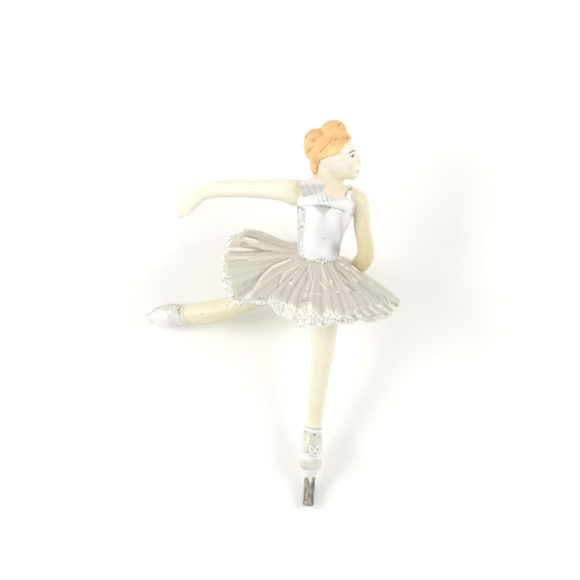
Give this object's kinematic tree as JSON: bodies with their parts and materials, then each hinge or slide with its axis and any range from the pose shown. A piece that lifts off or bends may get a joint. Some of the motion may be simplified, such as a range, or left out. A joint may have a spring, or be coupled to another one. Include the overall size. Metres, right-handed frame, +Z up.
{
  "type": "ballerina figurine",
  "caption": "Small painted cast resin ballerina on pointe, with a pleated tutu and a steel pin in the toe that holds it in a base; stored lying on its back.",
  "frame": {"origin": "on the table under the middle of the bounding box, as the figure lies on its back", "axes": "+Y from the pin's tip towards the head, +Z up, out of the figure's front, +X to its left"},
  "size_m": [0.0664, 0.0999, 0.0379],
  "materials": {
    "painted_resin": "hand-painted cast resin, satin",
    "skin_paint": "ivory paint, satin",
    "hair_paint": "peach-orange paint, satin",
    "bodice_paint": "silver-white pearl paint",
    "skirt_paint": "taupe-grey pearl paint, dry-brushed cream",
    "trim_paint": "white paint with glitter",
    "shoe_paint": "silver-white pearl paint",
    "steel": "dull drawn steel rod"
  },
  "bodies": {
    "root": {"ballerina": "painted_resin", "mounting_pin": "steel"}
  },
  "joints": []
}
